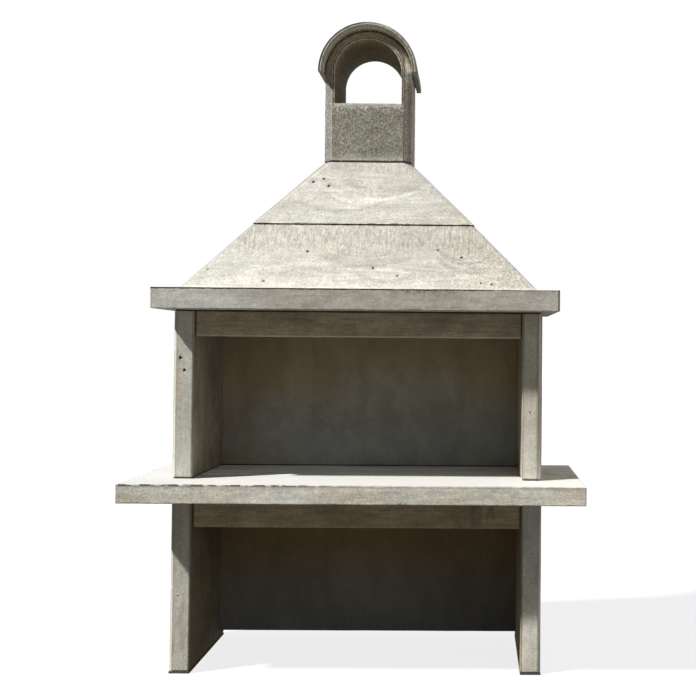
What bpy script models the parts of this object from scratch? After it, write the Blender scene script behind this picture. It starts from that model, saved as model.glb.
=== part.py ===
"""Outdoor masonry barbecue, built up in courses from cast concrete pieces on thin mortar beds.

Metres, +Z up. The origin is on the ground, at the middle of the whole barbecue's footprint.
X runs to the right and Y to the back, so the barbecue faces -Y. From the ground up:
two side panels, a back panel and a lintel carry the worktop; two more side panels, a back panel
and a lintel stand on it and carry the cornice; a hollow hood in two courses and a chimney head
with an arched smoke passage and a vaulted roof stand on that.
"""

import math

import bmesh
import bpy

# Fits and cutters
CLEARANCE = 0.0003
OVERRUN = 0.020

# Mortar
FOOT_BED_THICKNESS = 0.008
JOINT_THICKNESS = 0.005
JOINT_SETBACK = 0.006

# Side panels
WALLS_WIDTH = 1.444
WALLS_DEPTH = 0.532
WALL_THICKNESS = 0.080
LOWER_WALL_HEIGHT = 0.668
UPPER_WALL_HEIGHT = 0.649
UPRIGHT_ARRIS = 0.010
FOOT_ARRIS = 0.006
HEAD_ARRIS = 0.003

# Back panels, whose tongues stand in grooves of the side panels
BACK_THICKNESS = 0.080
TONGUE_THICKNESS = 0.036
TONGUE_DEPTH = 0.022
DRAIN_GAP = 0.040
BACK_ARRIS = 0.004

# Lintels, whose ends lie in pockets of the side panels
LINTEL_THICKNESS = 0.060
LINTEL_BEARING = 0.035
LINTEL_RECESS = 0.015
LINTEL_ARRIS = 0.005
LOWER_LINTEL_HEIGHT = 0.114
UPPER_LINTEL_HEIGHT = 0.099

# Worktop, with a shallow seat in its top for the upper walls' mortar
WORKTOP_SIDE_OVERHANG = 0.158
WORKTOP_FRONT_OVERHANG = 0.168
WORKTOP_THICKNESS = 0.073
WORKTOP_ARRIS = 0.006
SEAT_DEPTH = 0.004

# Cornice and the smoke opening through it
CORNICE_SIDE_OVERHANG = 0.059
CORNICE_FRONT_OVERHANG = 0.112
CORNICE_THICKNESS = 0.082
CORNICE_ARRIS = 0.006
CORNICE_BEARING = 0.030
SMOKE_CORNER = 0.015

# Hood, in two hollow courses with an upright back
HOOD_SIDE_STEP = 0.020
HOOD_FRONT_OVERHANG = 0.004
HOOD_BASE_CORNER = 0.010
HOOD_SEAM_WIDTH = 0.902
HOOD_SEAM_DEPTH = 0.411
HOOD_SEAM_CORNER = 0.014
LOWER_HOOD_HEIGHT = 0.265
UPPER_HOOD_HEIGHT = 0.272
HOOD_WALL = 0.050
HOOD_ARRIS = 0.003
HOOD_LEDGE = 0.004
FLUE_CORNER = 0.008

# Chimney head
CHIMNEY_WIDTH = 0.362
CHIMNEY_DEPTH = 0.288
CHIMNEY_CORNER = 0.032
SILL_HEIGHT = 0.242
SPRING_HEIGHT = 0.373
FRONT_ARCH_RIM = 0.008
BACK_ARCH_RIM = 0.019
SHAFT_SIDE_WALL = 0.061
SHAFT_END_WALL = 0.044
ARCH_STEPS = 36

# Vaulted roof
ROOF_BED_THICKNESS = 0.003
ROOF_THICKNESS = 0.022
ROOF_OVERHANG = 0.028
ROOF_LIP = 0.006
ROOF_ARRIS = 0.003

# Colours of the dry concretes and of the mortar, roughness
WALL_COLOUR = (0.43, 0.41, 0.35, 1.0)
SLAB_COLOUR = (0.46, 0.43, 0.37, 1.0)
HOOD_COLOUR = (0.72, 0.68, 0.58, 1.0)
CHIMNEY_COLOUR = (0.23, 0.21, 0.17, 1.0)
MORTAR_COLOUR = (0.09, 0.08, 0.07, 1.0)
CONCRETE_ROUGHNESS = 0.9

# Heights of the courses above the ground
lower_wall_z = FOOT_BED_THICKNESS
lower_wall_top = lower_wall_z + LOWER_WALL_HEIGHT
worktop_z = lower_wall_top + JOINT_THICKNESS
worktop_top = worktop_z + WORKTOP_THICKNESS
upper_wall_z = worktop_top + JOINT_THICKNESS
upper_wall_top = upper_wall_z + UPPER_WALL_HEIGHT
cornice_z = upper_wall_top + JOINT_THICKNESS
cornice_top = cornice_z + CORNICE_THICKNESS
lower_hood_z = cornice_top + JOINT_THICKNESS
lower_hood_top = lower_hood_z + LOWER_HOOD_HEIGHT
upper_hood_z = lower_hood_top + JOINT_THICKNESS
upper_hood_top = upper_hood_z + UPPER_HOOD_HEIGHT
chimney_z = upper_hood_top + JOINT_THICKNESS

# Places in plan: the back plane is common to all the courses
worktop_depth = WALLS_DEPTH + WORKTOP_FRONT_OVERHANG
roof_proud_behind = ROOF_OVERHANG - HOOD_LEDGE
total_depth = worktop_depth + roof_proud_behind
back_y = total_depth / 2 - roof_proud_behind
front_y = back_y - WALLS_DEPTH
inner_x = WALLS_WIDTH / 2 - WALL_THICKNESS
back_panel_y = back_y - BACK_THICKNESS / 2
lintel_y = front_y + LINTEL_RECESS + LINTEL_THICKNESS / 2
chimney_y = back_y - HOOD_LEDGE - CHIMNEY_DEPTH / 2


def concrete(name, colour):
    """A dry cast finish: one Principled shader, matt."""
    material = bpy.data.materials.new(name)
    material.use_nodes = True
    shader = material.node_tree.nodes["Principled BSDF"]
    shader.inputs["Base Color"].default_value = colour
    shader.inputs["Roughness"].default_value = CONCRETE_ROUGHNESS
    shader.inputs["Metallic"].default_value = 0.0
    return material


def add_piece(name, bm, location, colour):
    """Turn a finished bmesh into a named piece that stands at its place in the barbecue."""
    bmesh.ops.recalc_face_normals(bm, faces=bm.faces)
    mesh = bpy.data.meshes.new(name)
    bm.to_mesh(mesh)
    bm.free()
    mesh.materials.append(concrete(name + "_finish", colour))
    piece = bpy.data.objects.new(name, mesh)
    piece.location = location
    piece.parent = barbecue
    bpy.context.collection.objects.link(piece)
    return piece


def cut(piece, name, bm, location):
    """Cut a closed shape out of a piece, with a cutter that is hidden from the render."""
    cutter = add_piece(name, bm, location, MORTAR_COLOUR)
    cutter.display_type = "WIRE"
    cutter.hide_render = True
    cutter.hide_set(True)
    opening = piece.modifiers.new(name, "BOOLEAN")
    opening.operation = "DIFFERENCE"
    opening.solver = "EXACT"
    opening.object = cutter


def loft(rings, hollow=False):
    """Skin a row of rings with equal counts: capped at both ends, or closed on itself if hollow."""
    bm = bmesh.new()
    loops = [[bm.verts.new(point) for point in ring] for ring in rings]
    count = len(loops[0])
    pairs = list(zip(loops, loops[1:]))
    if hollow:
        pairs.append((loops[-1], loops[0]))
    else:
        bm.faces.new(loops[0])
        bm.faces.new(loops[-1])
    for one, other in pairs:
        for i in range(count):
            j = (i + 1) % count
            bm.faces.new((one[i], one[j], other[j], other[i]))
    return bm


def prism(outline, height):
    """Raise a plan outline from z = 0."""
    return loft([[(x, y, z) for x, y in outline] for z in (0.0, height)])


def box(width, depth, height):
    """A plain box that stands on z = 0, centred in plan."""
    x, y = width / 2, depth / 2
    return prism([(-x, -y), (x, -y), (x, y), (-x, y)], height)


def cut_corners(width, front, back, corner, z, inset=0.0):
    """Rectangle with cut corners, drawn in by inset on all eight sides."""
    x = width / 2 - inset
    y0, y1 = front + inset, back - inset
    c = corner - inset * (2 - math.sqrt(2))
    return [
        (-x + c, y0, z), (x - c, y0, z), (x, y0 + c, z), (x, y1 - c, z),
        (x - c, y1, z), (-x + c, y1, z), (-x, y1 - c, z), (-x, y0 + c, z),
    ]


def arrised_block(width, depth, height, upright, foot, head):
    """Cast block centred in plan, with its upright, foot and head arrises taken off."""
    y = depth / 2
    return loft([
        cut_corners(width, -y, y, upright, 0.0, foot),
        cut_corners(width, -y, y, upright, foot),
        cut_corners(width, -y, y, upright, height - head),
        cut_corners(width, -y, y, upright, height, head),
    ])


def side_wall(name, side, z, height, groove_foot, lintel_height):
    """Upright side panel: a groove for the back panel, and a pocket for the lintel's end."""
    x = side * (WALLS_WIDTH - WALL_THICKNESS) / 2
    wall = add_piece(
        name,
        arrised_block(WALL_THICKNESS, WALLS_DEPTH, height, UPRIGHT_ARRIS, FOOT_ARRIS, HEAD_ARRIS),
        (x, front_y + WALLS_DEPTH / 2, z),
        WALL_COLOUR,
    )
    groove_depth = TONGUE_DEPTH + CLEARANCE
    groove_width = TONGUE_THICKNESS + 2 * CLEARANCE
    cut(
        wall,
        name + "_groove_cutter",
        box(groove_depth + OVERRUN, groove_width, height - groove_foot + OVERRUN),
        (side * (inner_x + (groove_depth - OVERRUN) / 2), back_panel_y, z + groove_foot),
    )
    pocket_depth = LINTEL_BEARING + CLEARANCE
    pocket_width = LINTEL_THICKNESS + 2 * CLEARANCE
    pocket_height = lintel_height + CLEARANCE
    cut(
        wall,
        name + "_pocket_cutter",
        box(pocket_depth + OVERRUN, pocket_width, pocket_height + OVERRUN),
        (side * (inner_x + (pocket_depth - OVERRUN) / 2), lintel_y, z + height - pocket_height),
    )
    return wall


def back_wall(name, z, height):
    """Back panel between the side panels, with a tongue down each end."""
    x = inner_x - CLEARANCE
    y = BACK_THICKNESS / 2
    tip = inner_x + TONGUE_DEPTH
    tongue = TONGUE_THICKNESS / 2
    a = BACK_ARRIS
    outline = [
        (-x + a, -y), (x - a, -y), (x, -y + a), (x, -tongue), (tip, -tongue), (tip, tongue),
        (x, tongue), (x, y - a), (x - a, y), (-x + a, y), (-x, y - a), (-x, tongue),
        (-tip, tongue), (-tip, -tongue), (-x, -tongue), (-x, -y + a),
    ]
    return add_piece(name, prism(outline, height), (0.0, back_panel_y, z), WALL_COLOUR)


def lintel(name, wall_top, height):
    """Beam whose ends lie in the side panels' pockets, flush with the head of the walls."""
    length = 2 * (inner_x + LINTEL_BEARING)
    beam = arrised_block(
        length, LINTEL_THICKNESS, height, LINTEL_ARRIS, LINTEL_ARRIS, HEAD_ARRIS
    )
    return add_piece(name, beam, (0.0, lintel_y, wall_top - height), WALL_COLOUR)


def walls_plan(setback, notch, back):
    """Plan of two side panels drawn in by setback, joined from the depth notch to the depth back."""
    xo, xi, yf = WALLS_WIDTH / 2 - setback, inner_x + setback, front_y + setback
    return [
        (-xo, back), (-xo, yf), (-xi, yf), (-xi, notch), (xi, notch), (xi, yf), (xo, yf), (xo, back),
    ]


def head_bed(name, z):
    """Mortar on the heads of three walls and of the lintel between them."""
    thickness = JOINT_THICKNESS - 2 * CLEARANCE
    lintel_front = lintel_y - LINTEL_THICKNESS / 2 + JOINT_SETBACK
    lintel_back = lintel_y + LINTEL_THICKNESS / 2 - JOINT_SETBACK
    outline = walls_plan(JOINT_SETBACK, lintel_front, back_y - JOINT_SETBACK)
    bed = add_piece(name, prism(outline, thickness), (0.0, 0.0, z + CLEARANCE), MORTAR_COLOUR)
    depth = back_y - BACK_THICKNESS + JOINT_SETBACK - lintel_back
    cut(
        bed,
        name + "_middle_cutter",
        box(2 * (inner_x + JOINT_SETBACK), depth, thickness + 2 * OVERRUN),
        (0.0, lintel_back + depth / 2, z - OVERRUN),
    )
    return bed


def slab(name, width, depth, thickness, arris, z):
    """Cast slab with all its arrises taken off, flush with the back plane."""
    block = arrised_block(width, depth, thickness, arris, arris, arris)
    return add_piece(name, block, (0.0, back_y - depth / 2, z), SLAB_COLOUR)


def worktop():
    """Slab on the lower walls, with a seat that runs out at its back under the upper walls."""
    width = WALLS_WIDTH + 2 * WORKTOP_SIDE_OVERHANG
    top = slab("worktop", width, worktop_depth, WORKTOP_THICKNESS, WORKTOP_ARRIS, worktop_z)
    inside_back = back_y - BACK_THICKNESS + JOINT_SETBACK
    seat = walls_plan(JOINT_SETBACK, inside_back, back_y + OVERRUN)
    seat_z = worktop_top - SEAT_DEPTH
    cut(top, "hearth_seat_cutter", prism(seat, SEAT_DEPTH + OVERRUN), (0.0, 0.0, seat_z))
    setback = JOINT_SETBACK + CLEARANCE
    outline = walls_plan(setback, inside_back + CLEARANCE, back_y - setback)
    thickness = SEAT_DEPTH + JOINT_THICKNESS - 2 * CLEARANCE
    place = (0.0, 0.0, seat_z + CLEARANCE)
    add_piece("hearth_bed", prism(outline, thickness), place, MORTAR_COLOUR)
    return top


def cornice():
    """Slab that caps the walls, with the smoke opening through its middle."""
    top = slab(
        "cornice",
        WALLS_WIDTH + 2 * CORNICE_SIDE_OVERHANG,
        WALLS_DEPTH + CORNICE_FRONT_OVERHANG,
        CORNICE_THICKNESS,
        CORNICE_ARRIS,
        cornice_z,
    )
    opening_width = 2 * (inner_x - CORNICE_BEARING)
    front = lintel_y + LINTEL_THICKNESS / 2 + CORNICE_BEARING
    back = back_y - BACK_THICKNESS - CORNICE_BEARING
    ends = (-OVERRUN, CORNICE_THICKNESS + OVERRUN)
    opening = loft([cut_corners(opening_width, front, back, SMOKE_CORNER, z) for z in ends])
    cut(top, "smoke_opening_cutter", opening, (0.0, 0.0, cornice_z))
    return top


def hood_course(name, z, height, foot, head):
    """Hollow tapered course between two outlines, each given as width, depth and cut corner."""
    def skin(share, inset):
        width, depth, corner = (a + (b - a) * share for a, b in zip(foot, head))
        return cut_corners(width, -depth, 0.0, corner, height * share, inset)

    def lining(share):
        width, depth, _ = (a + (b - a) * share for a, b in zip(foot, head))
        x = width - 2 * HOOD_WALL
        return cut_corners(x, HOOD_WALL - depth, -HOOD_WALL, FLUE_CORNER, height * share)

    arris_share = HOOD_ARRIS / height
    rings = [
        skin(0.0, HOOD_ARRIS), skin(arris_share, 0.0), skin(1.0 - arris_share, 0.0),
        skin(1.0, HOOD_ARRIS), lining(1.0), lining(0.0),
    ]
    return add_piece(name, loft(rings, hollow=True), (0.0, back_y, z), HOOD_COLOUR)


def ring_bed(name, z, width, depth, corner, lining_wall):
    """Mortar in the joint under a hollow course, set back from both of its faces."""
    thickness = JOINT_THICKNESS - 2 * CLEARANCE
    x = width - 2 * (lining_wall - JOINT_SETBACK)
    front, back = lining_wall - JOINT_SETBACK - depth, JOINT_SETBACK - lining_wall
    rings = [
        cut_corners(width, -depth, 0.0, corner, 0.0, JOINT_SETBACK),
        cut_corners(width, -depth, 0.0, corner, thickness, JOINT_SETBACK),
        cut_corners(x, front, back, FLUE_CORNER, thickness),
        cut_corners(x, front, back, FLUE_CORNER, 0.0),
    ]
    return add_piece(
        name, loft(rings, hollow=True), (0.0, back_y, z + CLEARANCE), MORTAR_COLOUR
    )


def arch_angles():
    """Angles of the half circle, right foot to left foot."""
    return [math.pi * step / ARCH_STEPS for step in range(ARCH_STEPS + 1)]


def arch_outline(radius, foot, y):
    """Upright-sided arch in the plane y, its half circle centred at the springing height."""
    arc = [
        (radius * math.cos(a), y, SPRING_HEIGHT + radius * math.sin(a)) for a in arch_angles()
    ]
    return [(radius, y, foot)] + arc + [(-radius, y, foot)]


def vault(section, drop):
    """Carry a section of (radius, y) points over the half circle, with straight legs below it."""
    rings = [[(r, y, SPRING_HEIGHT - drop) for r, y in section]]
    for a in arch_angles():
        rings.append([(r * math.cos(a), y, SPRING_HEIGHT + r * math.sin(a)) for r, y in section])
    rings.append([(-r, y, SPRING_HEIGHT - drop) for r, y in section])
    return loft(rings)


def smooth(piece):
    """Shade the curved faces smooth and keep the arrises sharp."""
    piece.data.shade_smooth()
    piece.data.set_sharp_from_angle(angle=math.radians(30))


def chimney_block():
    """Chimney head: cut corners that run up into the arch, a tapered passage, and a flue shaft."""
    half, y = CHIMNEY_WIDTH / 2, CHIMNEY_DEPTH / 2
    face, c = half - CHIMNEY_CORNER, CHIMNEY_CORNER
    block = add_piece(
        "chimney_block",
        loft([
            arch_outline(face, 0.0, -y), arch_outline(half, 0.0, c - y),
            arch_outline(half, 0.0, y - c), arch_outline(face, 0.0, y),
        ]),
        (0.0, chimney_y, chimney_z),
        CHIMNEY_COLOUR,
    )
    front_radius, back_radius = face - FRONT_ARCH_RIM, face - BACK_ARCH_RIM
    taper = (front_radius - back_radius) / CHIMNEY_DEPTH * OVERRUN
    passage = loft([
        arch_outline(front_radius + taper, SILL_HEIGHT, -y - OVERRUN),
        arch_outline(back_radius - taper, SILL_HEIGHT, y + OVERRUN),
    ])
    cut(block, "smoke_passage_cutter", passage, (0.0, chimney_y, chimney_z))
    shaft = box(
        CHIMNEY_WIDTH - 2 * SHAFT_SIDE_WALL,
        CHIMNEY_DEPTH - 2 * SHAFT_END_WALL,
        SILL_HEIGHT + 2 * OVERRUN,
    )
    cut(block, "flue_shaft_cutter", shaft, (0.0, chimney_y, chimney_z - OVERRUN))
    smooth(block)
    return block


def chimney_roof():
    """Barrel vault on its own bed, proud of the chimney head all round."""
    half, y = CHIMNEY_WIDTH / 2, CHIMNEY_DEPTH / 2
    place = (0.0, chimney_y, chimney_z)
    inner, outer = half + CLEARANCE, half + ROOF_BED_THICKNESS - CLEARANCE
    reach = y - CHIMNEY_CORNER - JOINT_SETBACK
    section = [(inner, -reach), (outer, -reach), (outer, reach), (inner, reach)]
    bed = add_piece("roof_bed", vault(section, 0.0), place, MORTAR_COLOUR)
    inner = half + ROOF_BED_THICKNESS
    outer = inner + ROOF_THICKNESS
    reach = y + ROOF_OVERHANG
    a = ROOF_ARRIS
    section = [
        (inner, -reach), (outer - a, -reach), (outer, a - reach),
        (outer, reach - a), (outer - a, reach), (inner, reach),
    ]
    roof = add_piece("chimney_roof", vault(section, ROOF_LIP), place, CHIMNEY_COLOUR)
    smooth(bed)
    smooth(roof)


for old in list(bpy.data.objects):
    bpy.data.objects.remove(old, do_unlink=True)

barbecue = bpy.data.objects.new("barbecue", None)
bpy.context.collection.objects.link(barbecue)

hood_base = (
    WALLS_WIDTH - 2 * HOOD_SIDE_STEP,
    WALLS_DEPTH + HOOD_FRONT_OVERHANG,
    HOOD_BASE_CORNER,
)
hood_seam = (HOOD_SEAM_WIDTH, HOOD_SEAM_DEPTH, HOOD_SEAM_CORNER)
hood_top = (
    CHIMNEY_WIDTH + 2 * HOOD_LEDGE,
    CHIMNEY_DEPTH + 2 * HOOD_LEDGE,
    CHIMNEY_CORNER + HOOD_LEDGE * (2 - math.sqrt(2)),
)

for side_name, side_sign in (("left", -1), ("right", 1)):
    add_piece(
        side_name + "_foot_bed",
        box(WALL_THICKNESS, WALLS_DEPTH, FOOT_BED_THICKNESS - CLEARANCE),
        (side_sign * (WALLS_WIDTH - WALL_THICKNESS) / 2, front_y + WALLS_DEPTH / 2, 0.0),
        MORTAR_COLOUR,
    )
    side_wall(
        side_name + "_lower_wall", side_sign, lower_wall_z, LOWER_WALL_HEIGHT,
        DRAIN_GAP - lower_wall_z, LOWER_LINTEL_HEIGHT,
    )
    side_wall(
        side_name + "_upper_wall", side_sign, upper_wall_z, UPPER_WALL_HEIGHT,
        -OVERRUN, UPPER_LINTEL_HEIGHT,
    )

back_wall("lower_back_wall", DRAIN_GAP + CLEARANCE, lower_wall_top - DRAIN_GAP - CLEARANCE)
back_wall("upper_back_wall", upper_wall_z, UPPER_WALL_HEIGHT)
lintel("lower_lintel", lower_wall_top, LOWER_LINTEL_HEIGHT)
lintel("upper_lintel", upper_wall_top, UPPER_LINTEL_HEIGHT)
head_bed("worktop_bed", lower_wall_top)
worktop()
head_bed("cornice_bed", upper_wall_top)
cornice()
ring_bed("hood_bed", cornice_top, *hood_base, HOOD_WALL)
hood_course("lower_hood", lower_hood_z, LOWER_HOOD_HEIGHT, hood_base, hood_seam)
ring_bed("hood_joint", lower_hood_top, *hood_seam, HOOD_WALL)
hood_course("upper_hood", upper_hood_z, UPPER_HOOD_HEIGHT, hood_seam, hood_top)
ring_bed("chimney_bed", upper_hood_top, *hood_top, HOOD_WALL)
chimney_block()
chimney_roof()
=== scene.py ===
"""Looks of an outdoor masonry barbecue, cast in grey concrete and stacked on thin mortar beds.

Metres, +Z up, the front faces -Y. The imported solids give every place; each casting below is a fine
surface of the same size, with worn arrises, blow holes and the marks of the mould and the trowel.
"""

import math

import bpy
import numpy as np
from mathutils import Matrix, Vector


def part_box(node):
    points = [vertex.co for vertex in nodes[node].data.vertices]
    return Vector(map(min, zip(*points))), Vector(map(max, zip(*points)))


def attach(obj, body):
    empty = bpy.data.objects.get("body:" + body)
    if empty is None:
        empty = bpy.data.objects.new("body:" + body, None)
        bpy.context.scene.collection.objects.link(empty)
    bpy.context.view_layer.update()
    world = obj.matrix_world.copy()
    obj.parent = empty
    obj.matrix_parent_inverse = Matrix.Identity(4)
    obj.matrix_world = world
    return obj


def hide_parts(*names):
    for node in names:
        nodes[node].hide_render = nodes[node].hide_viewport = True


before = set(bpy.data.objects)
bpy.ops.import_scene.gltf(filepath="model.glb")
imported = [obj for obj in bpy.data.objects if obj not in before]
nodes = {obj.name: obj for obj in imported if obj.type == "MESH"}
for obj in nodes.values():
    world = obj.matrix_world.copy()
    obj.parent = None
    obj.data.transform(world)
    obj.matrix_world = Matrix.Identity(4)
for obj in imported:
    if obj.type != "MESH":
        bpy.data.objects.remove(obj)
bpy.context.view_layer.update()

# ------------
# Mortar beds: a few millimetres of dark lime and cement mortar between the castings.
# They were struck back from the faces while wet, so each joint shows as a thin dark line.
# The solids have that shape already and only get the finish of dry, sandy mortar.


def add(tree, kind, inputs=None, **settings):
    """One shader node. Settings are its properties; inputs are its sockets by name or number, each
    given a value or the output of another node."""
    node = tree.nodes.new(kind)
    for name, value in settings.items():
        setattr(node, name, value)
    for name, value in (inputs or {}).items():
        if isinstance(value, bpy.types.NodeSocket):
            tree.links.new(value, node.inputs[name])
        else:
            node.inputs[name].default_value = value
    return node


class Look:
    """A matt material in the making: a colour and a height in metres, to which marks are added.
    Where a method takes parts and limits, it works by their share, as share() forms it."""

    def __init__(self, name, pale, dark, grit=1, relief=1):
        """Dry cast concrete in two tones: clouds, patches, mottling, sand grain and pinholes."""
        self.material = bpy.data.materials.new(name)
        self.material.use_nodes = True
        self.tree = self.material.node_tree
        self.place = add(self.tree, "ShaderNodeTexCoord").outputs["Object"]
        self.x, self.y, self.z = add(self.tree, "ShaderNodeSeparateXYZ", {0: self.place}).outputs
        self.aside = self.work("ABSOLUTE", self.x)
        self.colour = (*dark, 1)
        self.height = 0
        self.cover(pale, self.patches(0.36, 0.64, 2.6, 5, 0.6))
        self.tone(self.cloud(17, 6, 0.68), 0.92, 1.08)
        for scale, detail, change in ((58, 4, 0.07), (140, 3, 0.15), (430, 2, 0.1)):
            self.tone(self.cloud(scale, detail, 0.7), 1 - change * grit, 1 + change * grit)
        self.cover((0.1, 0.09, 0.075), self.specks(260, 0.34, 0.16), 0.34 * grit)
        self.cover((0.8, 0.78, 0.71), self.specks(207, 0.32, 0.1), 0.3 * grit)
        # Pinholes: dents in the bump, their darkness painted shade.
        pinholes = self.specks(62, 0.13, 0.1)
        self.cover((0.08, 0.07, 0.057), pinholes, 0.7)
        self.raise_by(self.cloud(34, 6, 0.66), 0.0018 * relief)
        self.raise_by(self.cloud(420, 2, 0.6), 0.0005 * grit * relief)
        self.raise_by(pinholes, -0.0015)

    def noise(self, place, scale, detail, rough, bend):
        """Fractal noise from 0 to 1 at a place, with features about 1 / scale metres across."""
        return add(self.tree, "ShaderNodeTexNoise",
                   {"Vector": place, "Scale": scale, "Detail": detail, "Roughness": rough,
                    "Distortion": bend}).outputs["Fac"]

    def cloud(self, scale, detail=4, rough=0.55, bend=0, stretch=(1, 1, 1)):
        """Such noise over the piece, whose coordinates are first multiplied by stretch, so it is
        drawn out along the smallest of the three."""
        place = add(self.tree, "ShaderNodeMapping", {"Vector": self.place, "Scale": stretch})
        return self.noise(place.outputs[0], scale, detail, rough, bend)

    def specks(self, scale, size, share):
        """Round specks, each within size of a cell's point, in that share of the cells."""
        cells = add(self.tree, "ShaderNodeTexVoronoi", {"Vector": self.place, "Scale": scale})
        drawn = add(self.tree, "ShaderNodeSeparateColor", {0: cells.outputs["Color"]}).outputs[0]
        inside = self.spread(cells.outputs["Distance"], size, size * 0.55)
        return self.share(inside, self.work("LESS_THAN", drawn, share))

    def work(self, operation, first, second=0):
        """One operation on one or two values."""
        node = add(self.tree, "ShaderNodeMath", {0: first, 1: second}, operation=operation)
        return node.outputs[0]

    def share(self, *parts, **limits):
        """Product of parts, which are values or names of stored marks, and of the share between
        the ends of each limit, on x, y, z or aside, the distance from the middle."""
        parts = [self.stored(part) if isinstance(part, str) else part for part in parts]
        parts += [self.within(getattr(self, axis), *ends) for axis, ends in limits.items()]
        total = parts[0]
        for part in parts[1:]:
            total = self.work("MULTIPLY", total, part)
        return total

    def spread(self, value, low, high, to_low=0, to_high=1):
        """A value's range from low to high, spread smoothly over to_low to to_high."""
        ends = {0: value, 1: low, 2: high, 3: to_low, 4: to_high}
        return add(self.tree, "ShaderNodeMapRange", ends,
                   interpolation_type="SMOOTHSTEP").outputs["Result"]

    def patches(self, low, high, *cloud, to=(0, 1)):
        """A cloud whose values from low to high are spread over 0 to 1, or over to."""
        return self.spread(self.cloud(*cloud), low, high, *to)

    def within(self, value, *ends):
        """Share that grows from 0 at the first end to 1 at the second and, where there are four,
        falls from 1 at the third to 0 at the fourth."""
        rise = self.spread(value, *ends[:2])
        return self.share(rise, self.spread(value, ends[3], ends[2])) if ends[2:] else rise

    def stored(self, name):
        """A mark that is stored with the points of the mesh."""
        return add(self.tree, "ShaderNodeAttribute", attribute_name=name).outputs["Fac"]

    def cover(self, over, *parts, blend="MIX", **limits):
        """Cover the colour with another one."""
        over = (*over, 1) if isinstance(over, tuple) else over
        inputs = {0: self.share(*parts, **limits), 6: self.colour, 7: over}
        self.colour = add(self.tree, "ShaderNodeMix", inputs, data_type="RGBA",
                          blend_type=blend).outputs[2]

    def tint(self, factors, *parts, **limits):
        """Multiply the colour's red, green and blue by factors."""
        self.cover(factors, *parts, blend="MULTIPLY", **limits)

    def tone(self, value, darkest, palest, low=0.32, high=0.68, share=1):
        """Multiply the colour by a factor that follows a value from darkest to palest."""
        self.tint(self.spread(value, low, high, darkest, palest), share)

    def raise_by(self, value, metres):
        """Raise the surface by that many metres where the value is 1."""
        self.height = self.work("ADD", self.height, self.share(value, metres))

    def done(self, roughness=0.92):
        """Wire colour and height into the surface and hand over the material."""
        shader = self.tree.nodes["Principled BSDF"]
        self.tree.links.new(self.colour, shader.inputs["Base Color"])
        shader.inputs["Roughness"].default_value = roughness
        shader.inputs["Specular IOR Level"].default_value = 0.25
        bump = add(self.tree, "ShaderNodeBump",
                   {"Strength": 1, "Distance": 1, "Height": self.height})
        self.tree.links.new(bump.outputs["Normal"], shader.inputs["Normal"])
        return self.material


mortar = Look("mortar", (0.13, 0.115, 0.095), (0.075, 0.066, 0.055), 1.3, 1.2).done()
for name in ("left_foot_bed", "right_foot_bed", "worktop_bed", "hearth_bed", "cornice_bed",
             "hood_bed", "hood_joint", "chimney_bed", "roof_bed"):
    nodes[name].data.materials.clear()
    nodes[name].data.materials.append(mortar)

# ------------
# Side panels: four upright slabs of grey concrete, cast flat, with cut upright arrises in front.
# A groove down the inner face takes the back panel's tongue and a pocket takes the lintel's end.

PANEL_ARRIS = 0.003
PANEL_OUTER_ARRIS = {"left_upper": 0.012, "right_upper": 0.015,
                     "left_lower": 0.011, "right_lower": 0.01}
PANEL_FOOT_ARRIS = 0.004
PANEL_HEAD_ARRIS = 0.003
GROOVE = (0.2797, 0.3163)
GROOVE_DEPTH = 0.0223
DRAIN_HEIGHT = 0.040
POCKET = (-0.1793, -0.1187)
POCKET_DEPTH = 0.0353
POCKET_HEIGHTS = {"lower": 0.1143, "upper": 0.0993}
SIDE_STEP = 0.00005

lattice = np.random.default_rng(11).random(65536)


def mottling(points, cell, salt=0):
    """Smooth random value from 0 to 1 at each point.

    Space is cut into cubes of the size cell, each cube corner draws a number, and the eight numbers
    round a point are blended by 3 t^2 - 2 t^3 of its place t in the cube.
    """
    place = points / cell
    corner = np.floor(place).astype(np.int64)
    t = place - corner
    t = t * t * (3 - 2 * t)
    total = np.zeros(len(points))
    for step in np.ndindex(2, 2, 2):
        key = (corner + step) @ np.array([7919, 104729, 1299709]) + salt * 15485863
        weight = np.where(np.array(step) == 1, t, 1 - t).prod(axis=1)
        total += weight * lattice[(key ^ (key >> 7)) % len(lattice)]
    return total


def stations(low, high, pitch, arris=0.012, around=(), steps=()):
    """Grid lines from low to high: about pitch apart, closer at both ends and around each hole, and
    in pairs SIDE_STEP apart at each step."""
    even = np.linspace(low, high, max(2, round((high - low) / pitch) + 1))
    edge = arris * np.array([0.0, 0.09, 0.2, 0.32, 0.46, 0.62, 0.8, 1.0, 1.3])
    close = [even, low + edge, high - edge]
    for centre, radius in around:
        close.append(centre + radius * np.array([-1.1, -0.8, -0.5, -0.2, 0.2, 0.5, 0.8, 1.1]))
    lines = np.sort(np.concatenate(close))
    lines = lines[(lines >= low) & (lines <= high)]
    lines = lines[np.r_[True, np.diff(lines) > 0.0004]]
    lines[0], lines[-1] = low, high
    for step in steps:
        lines = lines[np.abs(lines - step) > 0.0008]
        lines = np.sort(np.r_[lines, step - SIDE_STEP / 2, step + SIDE_STEP / 2])
    return lines


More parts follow.
